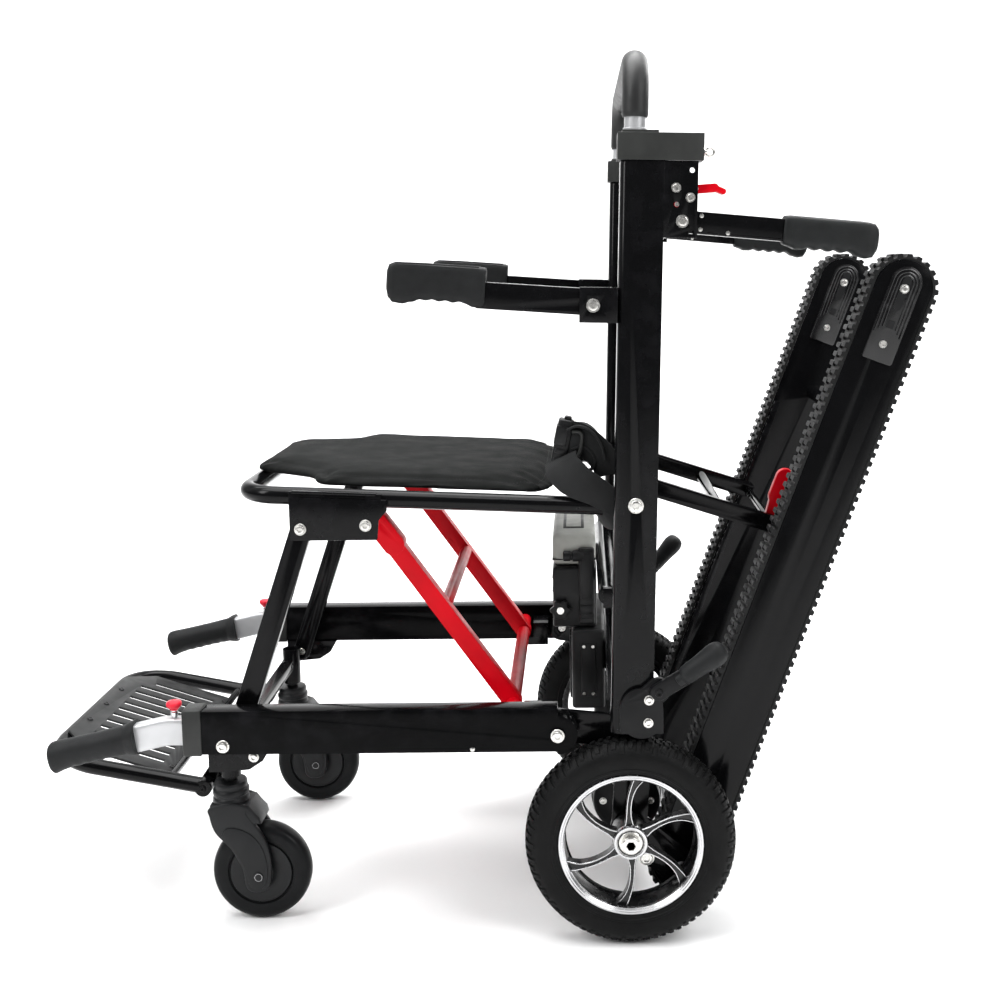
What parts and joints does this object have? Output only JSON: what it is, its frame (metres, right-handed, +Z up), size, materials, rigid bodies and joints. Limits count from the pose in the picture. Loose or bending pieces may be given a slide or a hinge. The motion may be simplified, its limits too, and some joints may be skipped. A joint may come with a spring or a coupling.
{
  "type": "stair climbing wheelchair",
  "caption": "Folding transit wheelchair on rear wheels and casters with swing-out crawler tracks, a flat seat, flip-up armrests, carry grips and a telescopic push bar.",
  "frame": {"origin": "middle of the footprint on the floor", "axes": "+Z up, the sitter faces -X, +Y is the sitter's right, Y = 0 is the mirror plane"},
  "size_m": [1.1218, 0.529, 1.0745],
  "materials": {
    "frame_black": "gloss black powder coat",
    "cap_plastic": "satin dark grey moulded plastic",
    "sleeve_rubber": "matt black rubber sleeve",
    "grip_rubber": "matt black moulded rubber grip",
    "grip_grey": "satin dark grey moulded grip",
    "bright_tube": "satin polished aluminium",
    "zinc_bolts": "zinc plated socket bolts",
    "red_paint": "gloss red powder coat",
    "red_plastic": "gloss red moulded knob",
    "tyre_rubber": "black tyre rubber",
    "rim_alloy": "machined alloy lip with black barrel",
    "caster_rubber": "dark grey polyurethane",
    "fork_plastic": "dark grey moulded nylon",
    "seat_fabric": "black woven nylon over a thin pad",
    "webbing": "black woven webbing",
    "belt_rubber": "lugged black rubber track belt",
    "tension_plate": "dark anodised ribbed plate",
    "case_plastic": "black textured plastic case",
    "case_grey": "pale grey plastic case",
    "footplate": "dark grey textured foot plate",
    "shaft_steel": "ground steel shaft"
  },
  "bodies": {
    "chassis": {"columns": "frame_black", "column_caps": "cap_plastic", "cross_tubes": "frame_black", "axle_plates": "frame_black", "lever_brackets": "frame_black", "rear_axle": "shaft_steel", "motor_housing": "case_plastic", "battery_case": "case_plastic", "battery_lid": "case_grey", "back_sling": "seat_fabric", "handle_plates": "frame_black", "armrest_clamps": "frame_black", "chassis_bolts": "zinc_bolts"},
    "push_handle": {"push_handle_tube": "bright_tube", "push_handle_sleeve": "sleeve_rubber"},
    "armrest_left": {"armrest_bar_left": "frame_black", "armrest_grip_left": "grip_rubber"},
    "armrest_right": {"armrest_bar_right": "frame_black", "armrest_grip_right": "grip_rubber"},
    "rear_handle_left": {"rear_handle_bar_left": "frame_black", "rear_handle_grip_left": "grip_grey"},
    "rear_handle_right": {"rear_handle_bar_right": "frame_black", "rear_handle_grip_right": "grip_grey"},
    "latch_left": {"handle_latch_left": "red_paint"},
    "latch_right": {"handle_latch_right": "red_paint"},
    "brake_left": {"brake_lever_left": "grip_rubber"},
    "brake_right": {"brake_lever_right": "grip_rubber"},
    "wheel_left": {"rear_tyre_left": "tyre_rubber", "rear_rim_left": "rim_alloy"},
    "wheel_right": {"rear_tyre_right": "tyre_rubber", "rear_rim_right": "rim_alloy"},
    "base_frame": {"side_rails": "frame_black", "rail_caps": "cap_plastic", "caster_brackets": "frame_black", "base_bolts": "zinc_bolts"},
    "carry_left": {"carry_tube_left": "bright_tube", "carry_grip_left": "grip_rubber"},
    "carry_right": {"carry_tube_right": "bright_tube", "carry_grip_right": "grip_rubber"},
    "knob_left": {"carry_knob_left": "red_plastic"},
    "knob_right": {"carry_knob_right": "red_plastic"},
    "footrest": {"footrest_frame": "frame_black", "footrest_plate": "footplate"},
    "fork_left": {"caster_fork_left": "fork_plastic"},
    "fork_right": {"caster_fork_right": "fork_plastic"},
    "caster_left": {"caster_wheel_left": "caster_rubber"},
    "caster_right": {"caster_wheel_right": "caster_rubber"},
    "seat": {"seat_frame": "frame_black", "seat_brackets": "frame_black", "seat_sling": "seat_fabric", "seat_belt": "webbing"},
    "legs": {"front_legs": "frame_black"},
    "brace": {"red_brace": "red_paint"},
    "tracks": {"track_frames": "frame_black", "track_belts": "belt_rubber", "tensioner_plates": "tension_plate"},
    "drive": {"track_drive": "shaft_steel"},
    "idlers": {"track_idlers": "shaft_steel"},
    "links": {"link_arms": "frame_black"},
    "link_latch": {"track_latch": "red_paint"}
  },
  "joints": [
    {"name": "frame_fold", "type": "hinge", "parent": "chassis", "child": "base_frame", "pos_m": [0.1005, 0, 0.26], "axis": [0, 1, 0], "range_deg": [0, 64], "deforming": ["seat_belt"]},
    {"name": "seat_fold", "type": "hinge", "parent": "chassis", "child": "seat", "pos_m": [0.19632, 0, 0.54092], "axis": [0, 1, 0], "range_deg": [0, 64]},
    {"name": "leg_fold", "type": "hinge", "parent": "seat", "child": "legs", "pos_m": [-0.2075, 0, 0.51], "axis": [0, 1, 0], "range_deg": [-64, 0]},
    {"name": "brace_swing", "type": "hinge", "parent": "seat", "child": "brace", "pos_m": [-0.1285, 0, 0.514], "axis": [0, 1, 0], "range_deg": [0, 60]},
    {"name": "push_handle_slide", "type": "slide", "parent": "chassis", "child": "push_handle", "axis": [0.0244, 0, 0.9997], "range_m": [0, 0.24]},
    {"name": "armrest_lift_left", "type": "hinge", "parent": "chassis", "child": "armrest_left", "pos_m": [0.14807, -0.227, 0.77717], "axis": [0, 1, 0], "range_deg": [0, 72]},
    {"name": "rear_handle_fold_left", "type": "hinge", "parent": "chassis", "child": "rear_handle_left", "pos_m": [0.25144, -0.222, 0.87267], "axis": [0, 1, 0], "range_deg": [0, 75]},
    {"name": "handle_latch_left", "type": "hinge", "parent": "chassis", "child": "latch_left", "pos_m": [0.26734, -0.222, 0.90929], "axis": [0, 1, 0], "range_deg": [0, 18], "stiffness_Nm_per_rad": 0.06, "springref_deg": -20.05},
    {"name": "brake_lever_left", "type": "hinge", "parent": "chassis", "child": "brake_left", "pos_m": [0.2215, -0.25, 0.318], "axis": [0, 1, 0], "range_deg": [-22.5, 12]},
    {"name": "rear_wheel_left", "type": "hinge", "parent": "chassis", "child": "wheel_left", "pos_m": [0.1875, -0.233, 0.1285], "axis": [0, 1, 0], "continuous": true},
    {"name": "carry_slide_left", "type": "slide", "parent": "base_frame", "child": "carry_left", "axis": [1, 0, 0], "range_m": [-0.15, 0]},
    {"name": "carry_knob_left", "type": "slide", "parent": "carry_left", "child": "knob_left", "axis": [0, 0, 1], "range_m": [0, 0.006], "stiffness_N_per_m": 500, "springref_m": -0.004},
    {"name": "caster_swivel_left", "type": "hinge", "parent": "base_frame", "child": "fork_left", "pos_m": [-0.3155, -0.172, 0.1], "axis": [0, 0, 1], "continuous": true},
    {"name": "caster_roll_left", "type": "hinge", "parent": "fork_left", "child": "caster_left", "pos_m": [-0.2785, -0.172, 0.0625], "axis": [0, 1, 0], "continuous": true},
    {"name": "armrest_lift_right", "type": "hinge", "parent": "chassis", "child": "armrest_right", "pos_m": [0.14807, 0.227, 0.77717], "axis": [0, 1, 0], "range_deg": [0, 72]},
    {"name": "rear_handle_fold_right", "type": "hinge", "parent": "chassis", "child": "rear_handle_right", "pos_m": [0.25144, 0.222, 0.87267], "axis": [0, 1, 0], "range_deg": [0, 75]},
    {"name": "handle_latch_right", "type": "hinge", "parent": "chassis", "child": "latch_right", "pos_m": [0.26734, 0.222, 0.90929], "axis": [0, 1, 0], "range_deg": [0, 18], "stiffness_Nm_per_rad": 0.06, "springref_deg": -20.05},
    {"name": "brake_lever_right", "type": "hinge", "parent": "chassis", "child": "brake_right", "pos_m": [0.2215, 0.25, 0.318], "axis": [0, 1, 0], "range_deg": [-8.5, 26]},
    {"name": "rear_wheel_right", "type": "hinge", "parent": "chassis", "child": "wheel_right", "pos_m": [0.1875, 0.233, 0.1285], "axis": [0, 1, 0], "continuous": true},
    {"name": "carry_slide_right", "type": "slide", "parent": "base_frame", "child": "carry_right", "axis": [1, 0, 0], "range_m": [-0.15, 0]},
    {"name": "carry_knob_right", "type": "slide", "parent": "carry_right", "child": "knob_right", "axis": [0, 0, 1], "range_m": [0, 0.006], "stiffness_N_per_m": 500, "springref_m": -0.004},
    {"name": "caster_swivel_right", "type": "hinge", "parent": "base_frame", "child": "fork_right", "pos_m": [-0.3155, 0.172, 0.1], "axis": [0, 0, 1], "continuous": true},
    {"name": "caster_roll_right", "type": "hinge", "parent": "fork_right", "child": "caster_right", "pos_m": [-0.2785, 0.172, 0.0625], "axis": [0, 1, 0], "continuous": true},
    {"name": "footrest_flip", "type": "hinge", "parent": "base_frame", "child": "footrest", "pos_m": [-0.351, 0, 0.169], "axis": [0, 1, 0], "range_deg": [0, 85]},
    {"name": "track_fold", "type": "hinge", "parent": "chassis", "child": "tracks", "pos_m": [0.2525, 0, 0.073], "axis": [0, 1, 0], "range_deg": [-17.7, 0]},
    {"name": "link_swing", "type": "hinge", "parent": "chassis", "child": "links", "pos_m": [0.2125, 0, 0.544], "axis": [0, 1, 0], "range_deg": [0, 64.21]},
    {"name": "link_latch", "type": "hinge", "parent": "links", "child": "link_latch", "pos_m": [0.37601, -0.107, 0.49117], "axis": [0, 1, 0], "range_deg": [0, 22]},
    {"name": "track_drive", "type": "hinge", "parent": "chassis", "child": "drive", "pos_m": [0.2525, 0, 0.073], "axis": [0, 1, 0], "continuous": true},
    {"name": "track_idlers", "type": "hinge", "parent": "tracks", "child": "idlers", "pos_m": [0.51951, 0, 0.79096], "axis": [0, 1, 0], "continuous": true}
  ],
  "couplings": [
    {"joint": "seat_fold", "follows": "frame_fold", "ratio": 1},
    {"joint": "leg_fold", "follows": "frame_fold", "ratio": -1},
    {"joint": "link_swing", "follows": "track_fold", "ratio": -3.6167},
    {"joint": "track_idlers", "follows": "track_drive", "ratio": 1}
  ]
}
